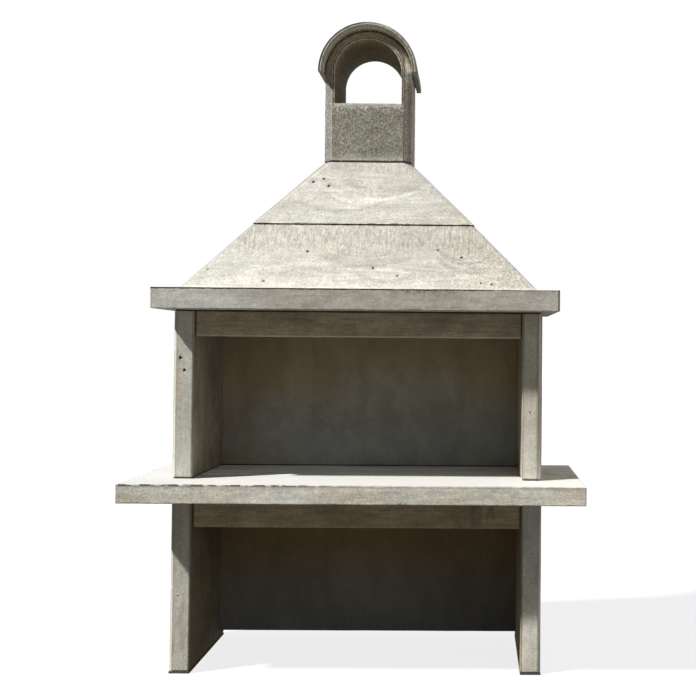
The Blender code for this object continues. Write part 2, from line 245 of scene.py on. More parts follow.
def block(xs, ys, zs):
    """Closed skin of a box as six grids that share their edges: a ring of points round the plan for
    each height in zs, and a grid over the foot and the head. Returns points and quads."""
    nx, ny, nz = len(xs) - 1, len(ys) - 1, len(zs) - 1
    ix = np.r_[np.arange(nx), np.full(ny, nx), np.arange(nx, 0, -1), np.zeros(ny, int)]
    iy = np.r_[np.zeros(nx, int), np.arange(ny), np.full(nx, ny), np.arange(ny, 0, -1)]
    n = len(ix)
    plan = np.tile(np.column_stack([xs[ix], ys[iy]]), (nz + 1, 1))
    points = [np.column_stack([plan, np.repeat(zs, n)])]
    row, a = np.arange(nz)[:, None] * n, np.arange(n)[None]
    b = (a + 1) % n
    quads = [np.stack([row + a, row + b, row + n + b, row + n + a], -1).reshape(-1, 4)]
    middle = np.stack(np.meshgrid(xs[1:-1], ys[1:-1], indexing="ij"), -1).reshape(-1, 2)
    start = n * (nz + 1)
    for level, order in ((0, -1), (nz, 1)):
        grid = np.zeros((nx + 1, ny + 1), int)
        grid[ix, iy] = level * n + np.arange(n)
        grid[1:-1, 1:-1] = start + np.arange(len(middle)).reshape(nx - 1, ny - 1)
        points.append(np.column_stack([middle, np.full(len(middle), zs[level])]))
        start += len(middle)
        cap = np.stack([grid[:-1, :-1], grid[1:, :-1], grid[1:, 1:], grid[:-1, 1:]], -1)
        quads.append(cap.reshape(-1, 4)[:, ::order])
    return np.concatenate(points), np.concatenate(quads)


def chips(points, salt, share):
    """How deeply an arris is broken at each point, from 0 on most of it to 1 in the worst bites,
    which are about 5 and 14 mm long and fill that share of it."""
    drawn = mottling(points, 0.014, salt) * 0.6 + mottling(points, 0.0048, salt + 1) * 0.4
    return np.clip((drawn - (1 - share)) / share, 0, 1) ** 0.7


def wear_arrises(points, low, high, cuts, size=0.003, salt=0, share=0.4):
    """Cut the edges of a box between low and high, each given as (axis, side, axis, side, width).

    With distances a and b from the two faces, a point where a + b is less than the width moves in
    by half the rest along both; the width grows by size where it is chipped, and a soft maximum
    rounds the change. Returns how much each point was worn and broken, both from 0 to 1.
    """
    soft = 0.0008
    worn, broken = np.zeros(len(points)), np.zeros(len(points))
    for number, (one, one_side, other, other_side, width) in enumerate(cuts):
        a = points[:, one] - low[one] if one_side < 0 else high[one] - points[:, one]
        b = points[:, other] - low[other] if other_side < 0 else high[other] - points[:, other]
        near = a + b < 0.05
        bite = chips(points[near], salt + number, share)
        rest = width + size * bite - a[near] - b[near]
        worn[near] = np.maximum(worn[near], np.clip(rest / 0.003 + 0.35, 0, 1))
        broken[near] = np.maximum(broken[near], bite * np.clip(rest / 0.0015 + 0.5, 0, 1))
        rest = (rest + np.sqrt(rest * rest + soft * soft)) / 2
        points[near, one] -= one_side * rest / 2
        points[near, other] -= other_side * rest / 2
    return {"worn": worn, "broken": broken}


def block_edges(upright, foot, head):
    """The twelve edges of a box with a width for the upright ones, the foot's and the head's."""
    edges = [(0, i, 1, j, upright) for i in (-1, 1) for j in (-1, 1)]
    for axis in (0, 1):
        edges += [(axis, i, 2, j, width) for j, width in ((-1, foot), (1, head)) for i in (-1, 1)]
    return edges


def bell(values, middle, width):
    """Bell round a middle value: exp(-t^2), with t the distance from it in widths."""
    return np.exp(-(((values - middle) / width) ** 2))


def struck_lines(a, b, width):
    """Dark lines at both ends of an arris, for points at the distances a and b from its two faces.
    The place s across it runs from -1 to 1, and each line is a bell round an end."""
    s = (a - b) / width
    return (a + b < 2.4 * width) * np.maximum(bell(s, 1.1, 0.27), bell(s, -1.0, 0.55))


def hollow(points, on_face, across, holes, inward, salt):
    """Press blow holes into the points of one face: each is (first, second, radius, depth) in the
    two axes across the face, a bowl with the depth times the root of 1 - (r / radius)^2, its
    outline made irregular by mottling. Returns the points and where they lie in a hole."""
    pit = np.zeros(len(points))
    for number, (first, second, radius, depth) in enumerate(holes):
        du, dv = points[:, across[0]] - first, points[:, across[1]] - second
        near = on_face & (np.hypot(du, dv) < radius * 1.6)
        ragged = 0.5 + mottling(points[near], radius * 0.8, salt + number)
        r = np.hypot(du[near], dv[near]) / (radius * ragged)
        points[near] += np.outer(depth * np.sqrt(np.clip(1 - r * r, 0, 1)), inward)
        pit[near] = np.maximum(pit[near], np.clip(1.25 - r, 0, 0.5) * 2)
    return points, pit


def casting(name, points, quads, material, marks=None, wave=0.0006, rough=0.00025, crisp=38):
    """Mesh of a casting with its stored marks. Its skin is first drawn in along its own normals by
    a slow wave of 90 mm and a rough one of 11 mm, as mould boards and trowels leave it."""
    mesh = bpy.data.meshes.new(name)
    mesh.from_pydata(points.tolist(), [], quads.tolist())
    normals = np.zeros(len(points) * 3, np.float32)
    mesh.vertices.foreach_get("normal", normals)
    drawn = wave * mottling(points, 0.09, 5) + rough * mottling(points, 0.011, 6)
    points = points - normals.reshape(-1, 3) * drawn[:, None]
    mesh.vertices.foreach_set("co", points.astype(np.float32).ravel())
    mesh.update()
    mesh.shade_smooth()
    mesh.set_sharp_from_angle(angle=math.radians(crisp))
    for mark, values in (marks or {}).items():
        stored = mesh.attributes.new(mark, "FLOAT", "POINT")
        stored.data.foreach_set("value", np.asarray(values, np.float32))
    mesh.materials.append(material)
    piece = bpy.data.objects.new(name, mesh)
    bpy.context.scene.collection.objects.link(piece)
    return piece


def box_of(name):
    """Lowest and highest corner of a solid, as arrays."""
    low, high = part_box(name)
    return np.array(low), np.array(high)


panel_holes = {
    "left_upper": [(-0.693, 1.224, 0.0062, 0.006), (-0.677, 1.176, 0.0052, 0.005)],
    "right_upper": [(0.676, 1.02, 0.0026, 0.002)],
    "left_lower": [(-0.69, 0.3, 0.0026, 0.002)],
    "right_lower": [(0.684, 0.47, 0.0028, 0.002)],
}
look = Look("panel_concrete", (0.62, 0.61, 0.535), (0.5, 0.485, 0.42), 0.9)
look.tone(look.cloud(24, 5, 0.65, 0.5, (1, 1, 0.16)), 0.88, 1.08)
look.tint((1, 0.93, 0.86), look.patches(0.5, 0.64, 9, 4, 0.6, 0.4, (1, 1, 0.2)))
look.tint((0.93, 0.94, 0.95), x=(0.2, -0.2), z=(0.7, 0.76))
# Painted light at the right lower panel's foot; painted shade in a band under the worktop.
look.tint((1.32, 1.32, 1.3), x=(-0.2, 0.2), z=(0.32, 0.2))
look.tint((0.88, 0.89, 0.92), z=(0.32, 0.42, 0.7, 0.73))
stain = look.share(look.patches(0.48, 0.68, 3, 5, 0.65, 0.5, (9, 9, 1.6)),
                   look.spread(look.z, 0.02, 0.62, 0.85, 0.25),
                   look.spread(look.x, 0.2, -0.2, 0.2, 1))
look.cover((0.31, 0.26, 0.195), stain, 0.7)
# Painted shade on the inner faces: darker, warm and patchy, darkest in the lower chamber.
inner = look.share(aside=(0.652, 0.645))
look.tint((0.44, 0.375, 0.29), inner, look.patches(0.3, 0.7, 6, 5, 0.6, to=(0.75, 1)))
look.tint((0.6, 0.58, 0.48), inner, z=(0.72, 0.7))
look.cover((0.72, 0.7, 0.63), "worn", 0.3)
# Broken arrises: exposed darker aggregate, with painted shade in the chips.
look.cover((0.17, 0.15, 0.12), "broken", 0.65)
look.cover((0.27, 0.24, 0.19), "line", 0.72)
# Painted shade in the blow holes.
look.cover((0.06, 0.05, 0.04), "pit", 0.85)
panel_concrete = look.done()

for side_name, side in (("left", -1), ("right", 1)):
    for level_name in ("lower", "upper"):
        name = f"{side_name}_{level_name}_wall"
        low, high = box_of(name)
        holes = panel_holes[f"{side_name}_{level_name}"]
        groove_foot = DRAIN_HEIGHT if level_name == "lower" else low[2] - 1
        pocket_foot = high[2] - POCKET_HEIGHTS[level_name]
        heights = [pocket_foot] + ([groove_foot] if level_name == "lower" else [])
        points, quads = block(
            stations(low[0], high[0], 0.009, around=[(h[0], h[2]) for h in holes]),
            stations(low[1], high[1], 0.0095, steps=(*GROOVE, *POCKET)),
            stations(low[2], high[2], 0.0055, around=[(h[1], h[2]) for h in holes], steps=heights),
        )
        outer = low[0] if side < 0 else high[0]
        front = points[:, 1] == low[1]
        for (y0, y1), foot, depth in ((GROOVE, groove_foot, GROOVE_DEPTH),
                                      (POCKET, pocket_foot, POCKET_DEPTH)):
            inside = (points[:, 1] > y0) & (points[:, 1] < y1) & (points[:, 2] > foot)
            thinner = 1 - depth / (high[0] - low[0])
            points[inside, 0] = outer + (points[inside, 0] - outer) * thinner
        salt = 20 * (side + 2) + (7 if level_name == "upper" else 0)
        points, pit = hollow(points, front, (0, 2), holes, (0, 1, 0), salt)
        outer_arris = PANEL_OUTER_ARRIS[f"{side_name}_{level_name}"]
        line = struck_lines(np.abs(points[:, 0] - outer), points[:, 1] - low[1], outer_arris)
        cuts = block_edges(PANEL_ARRIS, PANEL_FOOT_ARRIS, PANEL_HEAD_ARRIS)
        cuts = [cut for cut in cuts if cut[:4] != (0, side, 1, -1)]
        cuts.insert(0, (0, side, 1, -1, outer_arris))
        marks = wear_arrises(points, low, high, cuts, 0.003, salt, 0.3)
        marks.update(pit=pit, line=line)
        piece = casting(f"{side_name}_{level_name}_panel", points, quads, panel_concrete, marks)
        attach(piece, "root")
        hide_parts(name)

# ------------
# Back panels: one to each chamber, cast of the same concrete, with a tongue down each end. The upper
# one is browner towards its head and sides. Both carry painted shade on their inner faces, the lower
# one the darkest.

TONGUE_HALF = 0.018
INNER_X = 0.642

look = Look("back_panel_concrete", (0.5, 0.485, 0.43), (0.4, 0.385, 0.335), 0.8)
inner = look.share(y=(0.3, 0.275))
upper = look.share(z=(0.7, 0.73))
lower = look.work("SUBTRACT", 1, upper)
# Painted shade: the inner faces are covered with dark grey, the lower panel's darker still.
look.cover((0.195, 0.197, 0.187), inner, 0.62)
look.tint((0.7, 0.7, 0.7), inner, lower)
drift = look.patches(0.3, 0.7, 2.4, 3, 0.55, 0, (1, 1, 1.6), to=(-0.35, 0.35))
across, along = (look.work("DIVIDE", look.work("SUBTRACT", place, middle), half)
                 for place, middle, half in ((look.x, 0.08, 0.7), (look.z, 0.86, 0.34)))
reach = look.work("ADD", look.share(across, across), look.share(along, along))
browner_outward = look.share(look.spread(look.work("ADD", reach, drift), 0.35, 1.35), upper)
browner_lower = look.share(lower, z=(0.38, 0.6))
look.cover((0.3, 0.235, 0.15), inner, look.work("MAXIMUM", browner_outward, browner_lower), 0.8)
look.tint((1.27, 0.98, 0.68), inner, lower, z=(0.24, 0.4))
look.tint((1.06, 1.02, 0.92), inner, lower, z=(0.05, 0.2))
look.tint((1.15, 1.11, 1), inner, z=(0.95, 1.15))
look.tint((1.13, 1.18, 1.22), inner, upper, z=(0.93, 0.8))
look.tone(look.cloud(7, 5, 0.65, 0.5, (1, 1, 0.5)), 0.88, 1.1, share=inner)
look.tint((0.99, 0.96, 0.905), z=(0.88, 0.95, 1.15, 1.3))
back_panel_concrete = look.done()

for level_name in ("lower", "upper"):
    name = f"{level_name}_back_wall"
    low, high = box_of(name)
    points, quads = block(
        stations(low[0], high[0], 0.009, steps=(-INNER_X, INNER_X)),
        stations(low[1], high[1], 0.01),
        stations(low[2], high[2], 0.009, arris=0.006),
    )
    tongue = np.abs(points[:, 0]) > INNER_X
    middle, half = (low[1] + high[1]) / 2, (high[1] - low[1]) / 2
    points[tongue, 1] = middle + (points[tongue, 1] - middle) * TONGUE_HALF / half
    piece = casting(f"{level_name}_back_panel", points, quads, back_panel_concrete, wave=0.0009)
    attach(piece, "root")
    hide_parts(name)

# ------------
# Lintels: two beams whose ends lie in the side panels' pockets, under the worktop and the cornice.
# They were cast in a timber mould, so their faces carry its horizontal grain, and they are browner.

LINTEL_ARRIS = 0.005
BOARD_GRAIN = (2.6, 16.0, 34.0)

look = Look("lintel_concrete", (0.46, 0.405, 0.305), (0.34, 0.3, 0.225), 0.9)
board = look.cloud(1.6, 5, 0.66, 1.1, BOARD_GRAIN)
look.tone(board, 0.86, 1.1, 0.36, 0.64)
look.raise_by(board, 0.0022)
look.tone(look.cloud(5, 5, 0.66, 0.6, BOARD_GRAIN), 0.92, 1.07, 0.36, 0.64)
look.tone(look.cloud(9, 4, 0.6, 0.6, (1, 1, 2.2)), 0.88, 1.08, 0.36, 0.64)
look.tint((1.06, 1, 0.9), z=(1, 0.9))
look.tint((1, 0.965, 0.94), z=(1.2, 1.3))
blots = look.patches(0.5, 0.6, 13, 4, 0.65, 0.8, (1, 1, 0.6))
look.tint((0.66, 0.62, 0.58), blots, 0.8, x=(0.36, 0.42, 0.58, 0.62), z=(1, 0.9))
look.cover((0.6, 0.55, 0.46), "worn", look.spread(look.z, 0.9, 1, 0.12, 0.4))
# Painted shade: nearly black at the ends, where they meet the side panels and enter their pockets.
look.cover((0.06, 0.045, 0.03), 0.85, aside=(0.6345, 0.6385))
lintel_concrete = look.done()

for salt, level_name in ((90, "lower"), (110, "upper")):
    name = f"{level_name}_lintel"
    low, high = box_of(name)
    points, quads = block(
        stations(low[0], high[0], 0.0065),
        stations(low[1], high[1], 0.009),
        stations(low[2], high[2], 0.009),
    )
    cuts = block_edges(LINTEL_ARRIS, LINTEL_ARRIS, 0.003)
    marks = wear_arrises(points, low, high, cuts, 0.003, salt)
    piece = casting(f"{level_name}_beam", points, quads, lintel_concrete, marks, 0.0009)
    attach(piece, "root")
    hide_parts(name)

# ------------
# Worktop: one heavy slab that carries the fire chamber and stands proud in front and at the sides.
# Its front top arris carries a broken dark crust, the hearth is streaked and the right end of the
# top is weathered. The top is painted darker than the front against the stronger light on it, and
# the hearth, in the chamber's shade, is painted paler as painted light.

WORKTOP_ARRIS = 0.0028
SEAT_DEPTH = 0.004
SEAT_X = (0.648, 0.716)
SEAT_FRONT = -0.188
SEAT_INNER_BACK = 0.264

look = Look("worktop_concrete", (0.67, 0.645, 0.565), (0.55, 0.525, 0.45), 1.0)
look.tone(look.cloud(5, 6, 0.7, 0.5, (1, 4, 9)), 0.84, 1.11)
look.tone(look.cloud(17, 5, 0.66, 0.8, (1, 4, 5.5)), 0.9, 1.08, 0.36, 0.64)
look.tint((1.02, 0.97, 0.93), look.patches(0.46, 0.62, 3.4, 5, 0.62, 0.6, (1, 3, 5)))
# The top: more neutral, and painted darker than the front against the stronger light on it.
top = look.share(z=(0.7505, 0.753))
look.cover((0.545, 0.542, 0.52), top, 0.85)
# Painted light: the hearth floor, in the chamber's shade, is painted paler.
hearth = look.share(top, y=(-0.075, -0.045), aside=(0.655, 0.645))
look.tint((1.6, 1.66, 1.72), hearth)
look.tone(look.cloud(22, 4, 0.62, 0.4, (0.1, 1, 1)), 0.8, 1.16, 0.36, 0.64, hearth)
right_end = look.share(top, x=(0.7, 0.75), y=(-0.3, -0.05))
look.tint((0.86, 0.8, 0.7), right_end)
look.tone(look.cloud(15, 4, 0.66, 0.6), 0.84, 1.14, 0.38, 0.62, right_end)
look.tint((0.89, 0.905, 0.93), top, x=(-0.55, -0.75))
look.cover((0.76, 0.74, 0.68), "worn", look.patches(0.5, 0.56, 62, 3, 0.6), 0.4)
line = look.share(look.patches(0.36, 0.56, 30, 4, 0.65, 0, (1, 1, 1.6), to=(0.35, 1)),
                  y=(-0.35, -0.356), z=(0.7425, 0.7455))
look.cover((0.3, 0.27, 0.225), line, 0.55)
front = look.share(y=(-0.345, -0.356))
look.tint((1.25, 1.26, 1.27), front, x=(0.74, 0.84))
look.tint((1.05, 1.055, 1.07), front, aside=(0.6, 0.35))
crust = look.share(look.patches(0.46, 0.5, 36, 4, 0.65, 0, (0.6, 1, 1)),
                   look.spread(look.x, 0.1, -0.32, 0.12, 1), y=(-0.35, -0.3545), z=(0.747, 0.7485))
look.cover((0.075, 0.06, 0.045), crust, 0.95)
# Broken arrises: exposed darker aggregate, with painted shade in the chips.
look.cover((0.17, 0.15, 0.12), "broken", 0.5)
worktop_concrete = look.done()

low, high = box_of("worktop")
points, quads = block(
    stations(low[0], high[0], 0.0042, steps=(-SEAT_X[1], -SEAT_X[0], *SEAT_X)),
    stations(low[1], high[1], 0.016, steps=(SEAT_FRONT, SEAT_INNER_BACK)),
    stations(low[2], high[2], 0.009),
)
across = np.abs(points[:, 0])
seat = (across < SEAT_X[1]) & (points[:, 1] > SEAT_FRONT)
seat &= (across > SEAT_X[0]) | (points[:, 1] > SEAT_INNER_BACK)
points[seat, 2] = low[2] + (points[seat, 2] - low[2]) * (1 - SEAT_DEPTH / (high[2] - low[2]))
marks = wear_arrises(points, low, high, block_edges(*[WORKTOP_ARRIS] * 3), 0.0035, 130)
piece = casting("worktop_slab", points, quads, worktop_concrete, marks, 0.0007)
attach(piece, "root")
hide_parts("worktop")

# ------------
# Cornice: the slab that caps the fire chamber, proud on three sides, with the smoke opening
# cast through its middle. Its top edge is dark, and drips hang from it right of the middle.

CORNICE_ARRIS = 0.006
CORNICE_FOOT_ARRIS = 0.0018
CORNICE_HEAD_ARRIS = 0.0012
SMOKE_X = 0.612
SMOKE_FRONT = -0.089
SMOKE_BACK = 0.228
SMOKE_CORNER = 0.015


def ring_outline(width, front, back, corner, sides, ends, cut=5):
    """Plan loop of a rectangle with cut corners, anticlockwise from its front left: shares of the
    front and back in sides, of the two ends in ends, and cut points on each corner."""
    x = width / 2
    c = np.minimum(corner, min(x, (back - front) / 2) * 0.9)
    along = (2 * np.asarray(sides) - 1) * (x - c)
    deep = (front + c) + np.asarray(ends) * (back - front - 2 * c)
    t = np.linspace(0, 1, cut + 2)[1:-1]
    corner_x, corner_y = x - c + c * t, c * t
    wide, far = np.ones(len(along)), np.full(len(deep), x)
    xs = [along, corner_x, far, corner_x[::-1], along[::-1], -corner_x, -far, -corner_x[::-1]]
    ys = [front * wide, front + corner_y, deep, back - corner_y[::-1],
          back * wide, back - corner_y, deep[::-1], front + corner_y[::-1]]
    return np.column_stack([np.concatenate(xs), np.concatenate(ys)])


def closed_loops(loops):
    """Quads between rows of points that all have the same count, closed round each row and from the
    last row to the first, as on a ring with a section."""
    rows, n = len(loops), len(loops[0])
    i, j = np.arange(rows)[:, None], np.arange(n)[None]
    i2, j2 = (i + 1) % rows, (j + 1) % n
    quads = np.stack([i * n + j, i * n + j2, i2 * n + j2, i2 * n + j], -1).reshape(-1, 4)
    return np.concatenate(loops), quads


def between(first, last, ways):
    """Loops on the way from one loop to another, at the shares in ways."""
    return [first + (last - first) * t for t in ways]


def shares(low, high, pitch, around=()):
    """Grid lines between low and high, as shares of the way."""
    return (stations(low, high, pitch, around=around) - low) / (high - low)


look = Look("cornice_concrete", (0.555, 0.535, 0.48), (0.455, 0.425, 0.37), 0.8)
look.tone(look.cloud(4, 5, 0.65, 0.5, (1, 4, 7)), 0.9, 1.07)
look.tone(look.cloud(15, 5, 0.66, 0.8, (1, 4, 6)), 0.92, 1.07, 0.36, 0.64)
look.tint((0.91, 0.885, 0.87), aside=(0.5, 0.28))
look.tint((1.06, 1.09, 1.11), x=(-0.32, -0.5))
look.tint((1.06, 1.06, 1.05), x=(0.32, 0.5))
look.cover((0.72, 0.7, 0.63), "worn", 0.25)
look.cover((0.22, 0.195, 0.155), "line", 0.75)
# Painted shade: the line on the right end's arris, which lies in shade, is darker still.
look.cover((0.1, 0.085, 0.07), "line", 0.6, x=(0.5, 0.7))
# Broken arrises: exposed darker aggregate, with painted shade in the chips.
look.cover((0.2, 0.18, 0.145), "broken", 0.55)
front = look.share(y=(-0.29, -0.299))
edge = look.work("MAXIMUM", front, look.share(aside=(0.766, 0.775)))
wander = look.share(look.patches(0.3, 0.7, 30, 3, to=(-1, 1)), 0.0012)
rim = look.share(edge, look.spread(look.work("ADD", look.z, wander), 1.4882, 1.4896),
                 look.patches(0.34, 0.42, 17, 4, 0.65, to=(0.35, 1)),
                 look.spread(look.x, 0.34, 0.66, 1, 0.6))
look.cover((0.04, 0.034, 0.026), rim)
foot = look.share(front, look.patches(0.42, 0.6, 28, 4, 0.7), z=(1.4195, 1.417))
look.cover((0.74, 0.72, 0.65), foot, 0.45)
off_drips = look.work("ABSOLUTE", look.work("SUBTRACT", look.x, 0.25))
drips = look.share(edge, look.spread(off_drips, 0.16, 0.04),
                   look.patches(0.45, 0.56, 55, 3, 0.65, 0.8, (1, 1, 0.5)), z=(1.47, 1.492))
look.cover((0.12, 0.1, 0.08), drips, 0.8)
cornice_concrete = look.done()

low, high = box_of("cornice")
sides, ends = shares(low[0], high[0], 0.0065), shares(low[1], high[1], 0.009)
outer = ring_outline(high[0] - low[0], low[1], high[1], 0.0, sides, ends)
inner = ring_outline(2 * SMOKE_X, SMOKE_FRONT, SMOKE_BACK, SMOKE_CORNER, sides, ends)


def flat(loop, z):
    """A plan loop lifted to a height."""
    return np.column_stack([loop, np.full(len(loop), z)])


crossing = (0.03, 0.06, 0.1, 0.16, 0.24, 0.34, 0.46, 0.58, 0.7, 0.82, 0.92)
loops = [flat(outer, z) for z in stations(low[2], high[2], 0.008)]
loops += between(flat(outer, high[2]), flat(inner, high[2]), crossing)
loops += [flat(inner, z) for z in np.linspace(high[2], low[2], 9)]
loops += between(flat(outer, low[2]), flat(inner, low[2]), crossing[::-1])
points, quads = closed_loops(loops)
aside = np.minimum(points[:, 0] - low[0], high[0] - points[:, 0])
line = struck_lines(aside, points[:, 1] - low[1], CORNICE_ARRIS)
cuts = block_edges(CORNICE_ARRIS, CORNICE_FOOT_ARRIS, CORNICE_HEAD_ARRIS)
marks = wear_arrises(points, low, high, cuts, 0.003, 160) | {"line": line}
piece = casting("cornice_slab", points, quads, cornice_concrete, marks, 0.0007)
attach(piece, "root")
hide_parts("cornice")

# ------------
# Hood: two hollow tapered courses of pale, lime-rich concrete on thin beds, trowelled by hand and
# combed under the joint between them. The back stands upright, the front and the sides lean in to
# the chimney. The left slopes and the front left hip face the sun and are painted darker against its
# light, so that they keep their marks. A pale line along each course's foot is a painted highlight.

BACK_Y = 0.338
HOOD_WALL = 0.050
FLUE_CORNER = 0.008
CORNER_POINTS = 4
SEAM_Z = 1.765
HOOD_PITCH = (0.008, 0.0085, 0.007)
HOOD_BASE = (1.404, 0.536, 0.01)
HOOD_SEAM = (0.902, 0.411, 0.014)
HOOD_TOP = (0.37, 0.296, 0.0343)
hood_holes = {
    "lower_hood": [
        (-0.213, 1.652, 0.0042, 0.004), (0.05, 1.585, 0.004, 0.004), (0.305, 1.66, 0.0042, 0.004),
        (0.4, 1.632, 0.0045, 0.004), (0.148, 1.553, 0.0038, 0.003), (0.478, 1.527, 0.0042, 0.004),
        (0.52, 1.522, 0.0042, 0.004), (-0.375, 1.528, 0.0036, 0.003), (-0.6, 1.575, 0.0036, 0.003)
    ],
    "upper_hood": [
        (-0.215, 1.952, 0.0048, 0.005), (-0.173, 1.966, 0.0044, 0.004),
        (-0.15, 1.934, 0.0056, 0.005)
    ],
}

strokes = {
    "lower_hood": [
        (0.42, 1.73, 0.135, 205, 320, 0.006, 1.1), (0.4, 1.74, 0.112, 215, 300, 0.008, -1),
        (0.02, 2.02, 0.44, 238, 298, 0.019, 0.7), (0.44, 1.75, 0.19, 200, 300, 0.01, 0.7),
        (0.15, 1.86, 0.345, 240, 290, 0.007, 0.6), (-0.1, 2.1, 0.56, 245, 285, 0.006, 0.6),
        (0.1, 1.75, 0.215, 235, 300, 0.011, -0.7), (-0.35, 2.05, 0.46, 240, 275, 0.006, 0.4),
        (0.02, 1.95, 0.325, 240, 300, 0.006, 0.5)
    ],
    "upper_hood": [
        (0.05, 2.25, 0.37, 230, 305, 0.009, 0.9), (0, 2.1, 0.25, 225, 310, 0.008, -0.8),
        (0.08, 2.16, 0.275, 222, 318, 0.021, 0.8), (-0.06, 2.34, 0.51, 240, 298, 0.018, -0.6),
        (0.12, 2.4, 0.5, 245, 295, 0.007, 0.6), (-0.1, 2.14, 0.33, 235, 295, 0.007, 0.5)
    ],
}


def trowel_marks(points, arcs):
    """Trowel strokes seen from the front. Each is part of a circle: centre x and z, radius, first
    and last angle in degrees, width, strength. With t the distance across it in widths, the mark
    is t exp(1 - t t), a pale ridge beside a dark line, and it fades towards both ends."""
    total = np.zeros(len(points))
    for x, z, radius, first, last, width, strength in arcs:
        across, up = points[:, 0] - x, points[:, 2] - z
        t = (np.hypot(across, up) - radius) / width
        along = (np.degrees(np.arctan2(up, across)) % 360 - first) / (last - first)
        fade = np.where((along > 0) & (along < 1), np.sin(np.pi * np.clip(along, 0, 1)) ** 0.6, 0)
        total += strength * fade * t * np.exp(1 - t * t)
    return total


look = Look("hood_concrete", (0.623, 0.602, 0.545), (0.543, 0.52, 0.467), 1.1, 0.8)
look.tint((1.005, 0.99, 0.985), look.patches(0.46, 0.62, 5, 3, 0.6, 0.6))
look.tint((0.985, 1, 1), look.patches(0.46, 0.62, 4.2, 4, 0.6, 0.8))
below = look.work("SUBTRACT", SEAM_Z, look.z)
wander = look.share(look.patches(0.3, 0.7, 7, 3, to=(-1, 1)), 0.012)
combed = look.share(look.spread(look.work("ADD", below, wander), 0.15, 0.08),
                    look.spread(below, -0.001, 0))
combed = look.work("MAXIMUM", combed, look.spread(look.z, 1.975, 2.02, 0, 0.6))
swept = look.work("SUBTRACT", 1, combed)
trowel = look.cloud(2.4, 6, 0.62, 1.3, (1.25, 1.25, 11))
look.tone(trowel, 0.885, 1.08, 0.36, 0.64, swept)
look.raise_by(look.share(trowel, swept), 0.003)
upwards = add(look.tree, "ShaderNodeCombineXYZ",
              {0: look.stored("across"), 2: look.share(look.z, 0.17)}).outputs[0]
comb, hairs = (look.noise(upwards, scale, 3, 0.6, 0.25) for scale in (92, 205))
look.tone(comb, 0.86, 1.09, 0.36, 0.64, combed)
look.tone(hairs, 0.84, 1.14, 0.38, 0.62, combed)
look.raise_by(look.share(comb, combed), 0.0011)
look.tint((0.9, 0.885, 0.86), combed, 0.85)
stroke = look.stored("stroke")
look.tone(stroke, 0.87, 1.1, -1, 1)
look.raise_by(stroke, 0.0006)
# Painted highlight: a pale line along the foot of each course.
feet = look.work("MAXIMUM", look.share(z=(1.511, 1.506)),
                 look.share(z=(1.767, 1.769, 1.775, 1.779)))
look.cover((0.74, 0.73, 0.68), feet, 0.35)
# Painted darker against the sun: the front left hip and the left slopes, which face it.
look.tint((0.64, 0.64, 0.64), "arris")
look.tint((0.78, 0.775, 0.775), "weathered")
seam = look.share(look.patches(0.4, 0.7, 33, 3, 0.65), z=(1.7605, 1.7635, 1.7735, 1.7775))
look.cover((0.13, 0.11, 0.085), seam, 0.75)
right = look.share(x=(0.25, 0.45), z=(1.72, 1.6))
look.tone(look.cloud(120, 3, 0.75), 0.79, 1.15, 0.4, 0.6, right)
look.tint((0.93, 0.925, 0.9), x=(0.15, 0.6))
# Painted shade in the blow holes.
look.cover((0.09, 0.075, 0.055), "pit", 0.85)
hood_concrete = look.done()

for salt, course, foot, head in ((200, "lower", HOOD_BASE, HOOD_SEAM),
                                 (240, "upper", HOOD_SEAM, HOOD_TOP)):
    name = f"{course}_hood"
    low, high = box_of(name)
    z0, z1 = low[2], high[2]
    holes = hood_holes[name]
    sides = shares(-foot[0] / 2, foot[0] / 2, HOOD_PITCH[0],
                   [(x * foot[0] / (foot[0] + (head[0] - foot[0]) * (z - z0) / (z1 - z0)), r * 1.5)
                    for x, z, r, _ in holes])
    ends = shares(0.0, foot[1], HOOD_PITCH[1])
    up = shares(z0, z1, HOOD_PITCH[2], [(z, r) for _, z, r, _ in holes])

    def outline(share, wall=0.0, corner=None):
        """Loop of the course at a share of its height, on its skin or set in by the wall."""
        width, depth, cut = (a + (b - a) * share for a, b in zip(foot, head))
        loop = ring_outline(width - 2 * wall, BACK_Y - depth + wall, BACK_Y - wall, corner or cut,
                            sides, ends, CORNER_POINTS)
        return flat(loop, z0 + (z1 - z0) * share)

    skin = [outline(share) for share in up]
    lining = [outline(share, HOOD_WALL, FLUE_CORNER) for share in np.linspace(1, 0, 16)]
    rim = (0.08, 0.2, 0.4, 0.6, 0.8, 0.92)
    loops = skin + between(skin[-1], lining[0], rim) + lining
    loops += between(skin[0], lining[-1], rim[::-1])
    points, quads = closed_loops(loops)
    n = len(loops[0])
    outside = np.arange(len(points)) < len(up) * n
    front = outside & (points[:, 1] < BACK_Y - 0.2)
    column = np.arange(len(points)) % n
    on_end = np.abs(loops[0][column, 0]) > foot[0] / 2 - foot[2] / 2
    marks = {"stroke": trowel_marks(points, strokes[name]) * front,
             "arris": outside & (column >= n - CORNER_POINTS - 1),
             "across": np.where(on_end, 3 + points[:, 1], points[:, 0]),
             "weathered": outside & on_end & (points[:, 0] < 0)}
    inward = np.array([0.0, z1 - z0, head[1] - foot[1]])
    inward /= np.linalg.norm(inward)
    points, marks["pit"] = hollow(points, front, (0, 2), holes, inward, salt)
    piece = casting(f"hood_{course}_course", points, quads, hood_concrete, marks, 0.0012, 0.0004)
    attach(piece, "root")
    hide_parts(name)

# ------------
# Chimney head: a block of coarse, sandy concrete with cut corners that run up into an arch, and
# a passage right through under the arch. The flue shaft comes up through its foot. Broken pale
# lines run round the front mouth, and a dark joint shows along the foot.

